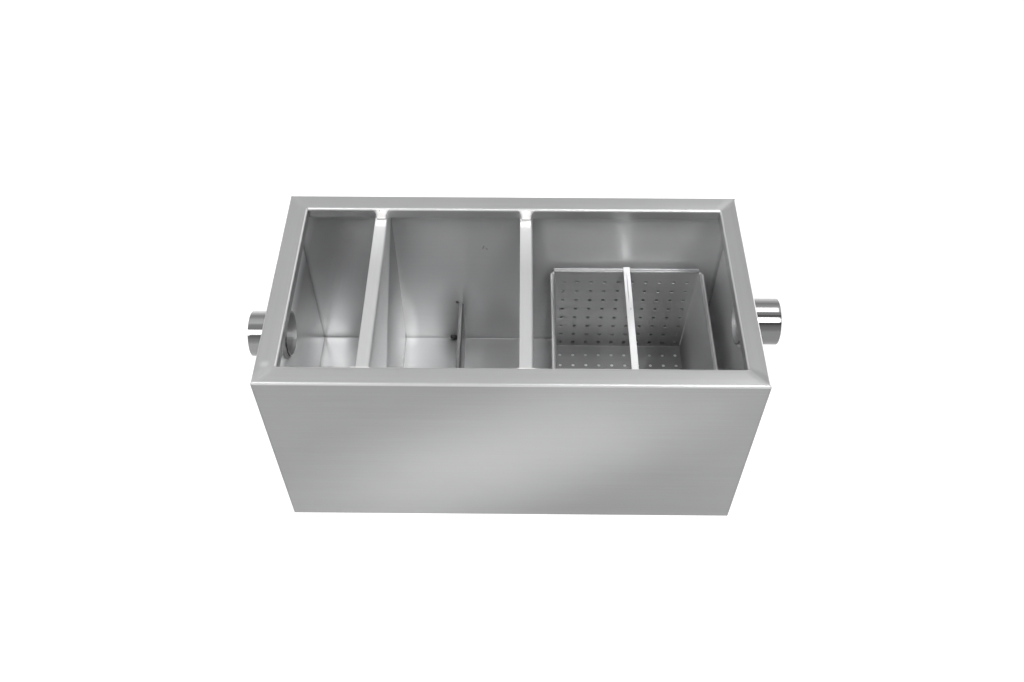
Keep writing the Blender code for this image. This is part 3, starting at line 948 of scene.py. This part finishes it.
def weir_zones(shade):
    """The low baffle is dull, most of all along its folded top."""
    return shade.ranged(shade.along("Z"), BAFFLE_TOP - TANK_BEND, BAFFLE_TOP - 0.0008, WEIR_TONE, WEIR_TOP_TONE)


def basket_zones(shade):
    """Painted light on the basket's folded-out flanges, darker along their bend, and painted shade low on its walls."""
    height = shade.along("Z")
    top = BASKET_CENTRE.z + BASKET_TOP
    far = shade.split(shade.vector_math("ABSOLUTE", shade.vector_math("SUBTRACT", shade.place, tuple(BASKET_CENTRE))))
    past_side = shade.math("SUBTRACT", far["X"], BASKET_HALF_WIDTH)
    past_end = shade.math("SUBTRACT", far["Y"], BASKET_HALF_DEPTH)
    past = shade.math("MAXIMUM", past_side, past_end)
    # Painted light on the flanges, darker along their bend
    flange = shade.ranged(past, 0.0021, 0.0031, BASKET_BEND_TONE, BASKET_RIM_TONE)
    # Painted shade low on the walls
    wall = shade.ranged(height, 0.005, 0.080, BASKET_LOW_TONE, BASKET_TONE)
    return shade.blend(shade.ranged(height, top - BASKET_BEND, top - 0.0003), wall, flange)


def tube_zones(axis_height, bore_tone, top_tone, low_tone, painted_reflection_lines=()):
    """A polished dark tube: painted shade towards its underside at the front, and painted light in its pale bore.

    The lines, painted reflections, are darker strokes along it, each as two angles from its top that it lies between.
    """

    def tone(shade):
        flat = shade.vector_math("MULTIPLY_ADD", shade.place, (0, 1, 1), (0, 0, -axis_height))
        reach = shade.vector_math("LENGTH", flat, output="Value")
        split = shade.split(flat)
        angle = shade.math("ARCTAN2", shade.math("MULTIPLY", split["Y"], -1.0), split["Z"])
        angle = shade.math("MULTIPLY", angle, 180 / math.pi)
        # Painted shade towards the underside at the front
        outside = shade.ranged(angle, 33.0, 47.0, top_tone, low_tone)
        # Painted reflections: darker strokes along the tube
        for first, last in painted_reflection_lines:
            from_first = shade.ranged(angle, first - 1.0, first + 0.5)
            stroke = shade.math("MULTIPLY", from_first, shade.ranged(angle, last + 1.0, last - 0.5))
            outside = shade.math("MULTIPLY", outside, shade.math("MULTIPLY_ADD", stroke, -0.5, 1.0))
        # Painted light in the bore
        bore = shade.ranged(reach, PIPE_RADIUS - 0.0004, PIPE_BORE + 0.0003)
        return shade.blend(bore, outside, bore_tone)

    return tone


tank_steel = brushed(
    "tank brushed steel", 0.55, 0.36, "X", 0.55, patches=SHELL_PATCHES,
    zones=tank_zones(
        "Y", RIM_TONE, (INSIDE_TONE, INSIDE_TONE), 0.20, 0.0, (-1.0, HALF_DEPTH - 0.010), (1.0, 0.70, 0.54)
    ),
)
# The outlet panel's inside is painted shade low down, in its corners and at its foot; edge_tint greys its grazing
# reflection, painted shade too
outlet_steel = brushed(
    "outlet panel brushed steel", 0.55, 0.36, "Y", 0.45, patches=TANK_PATCHES + OUTLET_PATCHES, edge_tint=0.62,
    zones=tank_zones("X", 0.50, (0.36, 0.98), 0.55, 0.5, (-HALF_LENGTH + 0.010, 0.0), (1.0, 1.0, 0.9)),
)
inlet_steel = brushed(
    "inlet panel brushed steel", 0.55, 0.36, "Y", 0.45, patches=TANK_PATCHES,
    zones=tank_zones("X", 0.44, (0.98, 0.98), 0.30, 0.3, (0.0, 1.0), (0.72, 0.72, 1.0)),
)
partition_steel = brushed("partition brushed steel", 0.70, 0.315, "Y", 0.45, zones=bar_zones)
outlet_tube_steel = brushed(
    "outlet tube steel", 0.35, 0.10, "X", 0.35, cloud=0.05, bump=0.05, metal=1.0,
    patches=tube_patches(-1, OUTLET_HEIGHT), zones=tube_zones(OUTLET_HEIGHT, OUTLET_BORE_TONE, 0.41, 0.25),
)
inlet_tube_steel = brushed(
    "inlet tube steel", 0.35, 0.09, "X", 0.35, cloud=0.05, bump=0.05, metal=1.0,
    patches=tube_patches(1, INLET_HEIGHT),
    zones=tube_zones(INLET_HEIGHT, INLET_BORE_TONE, 0.38, 0.19, painted_reflection_lines=((24, 34), (42, 47))),
)
basket_steel = brushed("strainer steel", 0.62, 0.41, "X", 0.35, cloud=0.14, bump=0.10, zones=basket_zones)
weir_steel = brushed("baffle brushed steel", WEIR_TONE, 0.42, "Y", 0.45, zones=weir_zones)
handle_steel = brushed("handle steel", 0.97, 0.30, "Y", 0.5, patches=HANDLE_PATCHES, metal=0.4)
weld_steel = weld_metal("weld metal", 0.52, 0.36)
pale_weld_steel = weld_metal("pale weld metal", 0.66, 0.38, tint=0.10, metal=0.6)
burnt_steel = weld_metal("heat-darkened weld metal", 0.16, 0.45, tint=0.10)
dressed_steel = weld_metal("dressed weld metal", 0.98, 0.32, tint=0.04, metal=0.6, joint=0.0016)

tank_shell(tank_steel)
end_panel("outlet_wall", "outlet_end_panel", -1, RIM_LEFT, OUTLET_HEIGHT, outlet_steel)
end_panel("inlet_wall", "inlet_end_panel", 1, RIM_RIGHT, INLET_HEIGHT, inlet_steel)
for end, face_x, seed in (("outlet", OUTLET_PARTITION_X, 8.4), ("inlet", INLET_PARTITION_X, 5.9)):
    section = face_x, PARTITION_FLANGE, FLANGE_TOP, PARTITION_BOTTOM
    chamber_plate(f"{end}_bulkhead", f"{end}_partition", *section, partition_steel, 0.0004, seed)
chamber_plate("weir_plate", "low_baffle", BAFFLE_X, BAFFLE_FLANGE, BAFFLE_TOP, INSET, weir_steel, 0.0002, 2.2)
for end, side, height, tube_steel in (
    ("outlet", -1, OUTLET_HEIGHT, outlet_tube_steel),
    ("inlet", 1, INLET_HEIGHT, inlet_tube_steel),
):
    tube(f"{end}_tube", f"{end}_pipe", side, height, tube_steel)
    outer_face = side * HALF_LENGTH
    inner_face = side * (HALF_LENGTH - TANK_SHEET)
    fillet(f"{end}_fillet_outside", f"{end}_weld_outside", outer_face, side, height, 0.0042, side * 1.7, weld_steel)
    fillet(f"{end}_fillet_inside", f"{end}_weld_inside", inner_face, -side, height, 0.0042, side * 4.1, pale_weld_steel)
for end, face_x in (("outlet", OUTLET_PARTITION_X), ("inlet", INLET_PARTITION_X)):
    bar_end_weld(f"{end}_bar_weld_front", f"{end}_partition_weld_front", face_x, -1, dressed_steel)
    bar_end_weld(f"{end}_bar_weld_back", f"{end}_partition_weld_back", face_x, 1, dressed_steel)
for side_x, x_name, rim in ((-1, "left", RIM_LEFT), (1, "right", RIM_RIGHT)):
    for side_y, y_name in ((-1, "front"), (1, "back")):
        corner_weld(f"corner_weld_{x_name}_{y_name}", side_x, side_y, rim, tank_steel)
basket_sleeve(basket_steel)
basket_end("strainer_end_left", "basket_left_end", -1, basket_steel)
basket_end("strainer_end_right", "basket_right_end", 1, basket_steel)
basket_seams(pale_weld_steel)
basket_handle(handle_steel)

# Tacks that hold the low baffle to the back wall and to the floor, left dark by their heat
baffle_tacks = Piece()
wall_face = HALF_DEPTH - TANK_SHEET - 0.0002
tack(baffle_tacks, (BAFFLE_X - 0.0098, wall_face, 0.0876), (-0.3, -1, 0), 0.0028, 0.0014, seed=4.0)
for x, height, size, seed in (
    (-0.0868, 0.0045, 0.0034, 0.6),
    (-0.0915, 0.0058, 0.0036, 2.3),
    (-0.0962, 0.0068, 0.0026, 5.1),
):
    tack(baffle_tacks, (x, wall_face - 0.0017, height), (-0.1, -1, 0.8), size, 0.0016, seed=seed)
baffle_tacks.finish("weir_tacks", burnt_steel)


# Floor, light and camera

FLOOR_SIZE = 60.0
FLOOR_GLOW = 0.72
# How bright the studio is, by the angle from the horizon behind the object over the top to the camera's side
WORLD_SWEEP = [
    (0, 0.85), (14, 0.80), (28, 0.50), (42, 0.60), (54, 0.85), (74, 0.95), (86, 0.50), (108, 0.42), (140, 0.42),
    (165, 0.80), (180, 0.85),
]
# The softbox and the window: how bright they are by that angle and by the direction's X, and their strength
SOFTBOX_SWEEP = [(108, 0.0), (116, 1.0), (130, 1.0), (138, 0.0)]
SOFTBOX_SPREAD = [
    (-0.9, 0.08), (-0.5, 0.31), (-0.25, 0.31), (-0.15, 0.02), (0.12, 0.02), (0.17, 1.0), (0.29, 1.0), (0.38, 0.10),
    (0.9, 0.04),
]
SOFTBOX_LEVEL = 15.0
WINDOW_SWEEP = [(57, 0.0), (60, 1.0), (78, 1.0), (84, 0.0)]
WINDOW_SPREAD = [(0.20, 0.0), (0.225, 1.0), (0.28, 1.0), (0.32, 0.0)]
WINDOW_LEVEL = 4.0
# How far up the studio stays white all round, so that the floor runs into it without a line
HORIZON_CLEAR = [(0.08, 0.0), (0.22, 1.0)]


def stage_floor():
    """A plain white floor that keeps the shadow."""
    mesh = bpy.data.meshes.new("stage_floor")
    shape = bmesh.new()
    bmesh.ops.create_grid(shape, x_segments=1, y_segments=1, size=FLOOR_SIZE)
    shape.to_mesh(mesh)
    shape.free()
    floor = bpy.data.objects.new("stage_floor", mesh)
    floor.location = (0, 0, -0.0003)
    bpy.context.scene.collection.objects.link(floor)
    shade = Shade("stage white")
    path = shade.tree.nodes.new("ShaderNodeLightPath").outputs
    seen = shade.math("MAXIMUM", path["Is Camera Ray"], path["Is Glossy Ray"])
    glow = shade.math("MULTIPLY", shade.math("MAXIMUM", seen, path["Is Transmission Ray"]), FLOOR_GLOW)
    shade.feed(shade.shader, Base_Color=(0.42, 0.42, 0.42, 1), Roughness=1.0, Specular_IOR_Level=0.0)
    shade.feed(shade.shader, Emission_Color=(1, 1, 1, 1), Emission_Strength=glow)
    mesh.materials.append(shade.material)


def studio_world():
    """A plain studio: pale at the horizon, a soft light strip overhead, and a softbox behind the camera."""
    world = bpy.data.worlds.new("studio")
    bpy.context.scene.world = world
    world.use_nodes = True
    nodes = Nodes(world.node_tree)
    direction = nodes.split(nodes.add("ShaderNodeTexCoord", output="Generated"))
    half_turns = nodes.math("MULTIPLY", nodes.math("ARCTAN2", direction["Z"], direction["Y"]), 1 / math.pi)
    sideways = nodes.math("MULTIPLY_ADD", direction["X"], 0.5, 0.5)

    def by_sweep(stops):
        return nodes.ramp(half_turns, [(angle / 180, level) for angle, level in stops])

    def by_side(stops):
        return nodes.ramp(sideways, [(x / 2 + 0.5, level) for x, level in stops])

    softbox = nodes.math("MULTIPLY", by_sweep(SOFTBOX_SWEEP), by_side(SOFTBOX_SPREAD))
    level = nodes.math("MULTIPLY_ADD", softbox, SOFTBOX_LEVEL, by_sweep(WORLD_SWEEP))
    window = nodes.math("MULTIPLY", by_sweep(WINDOW_SWEEP), by_side(WINDOW_SPREAD))
    level = nodes.math("MULTIPLY_ADD", window, WINDOW_LEVEL, level)
    level = nodes.blend(nodes.ramp(direction["Z"], HORIZON_CLEAR), 1.0, level)
    nodes.feed(world.node_tree.nodes["Background"], Color=(1, 1, 1, 1), Strength=level)


stage_floor()
studio_world()

key_data = bpy.data.lights.new("key_left", "AREA")
key_data.shape = "RECTANGLE"
key_data.size = key_data.size_y = 0.9
key_data.energy = 8
key = bpy.data.objects.new("key_left", key_data)
key.location = (-1.3, -1.2, 1.9)
key.rotation_euler = (Vector((-0.05, 0, 0.15)) - key.location).to_track_quat("-Z", "Y").to_euler()
bpy.context.scene.collection.objects.link(key)

bpy.context.scene.cycles.glossy_bounces = 10

camera_data = bpy.data.cameras.new("camera")
camera_data.sensor_width = 36.0
camera_data.lens = 34.594
camera = bpy.data.objects.new("camera", camera_data)
camera.location = (0.0077, -0.8279, 1.2155)
camera.rotation_euler = (math.radians(38.886), 0, math.radians(0.508))
bpy.context.scene.collection.objects.link(camera)
bpy.context.scene.camera = camera
bpy.context.scene.view_settings.view_transform = "Standard"
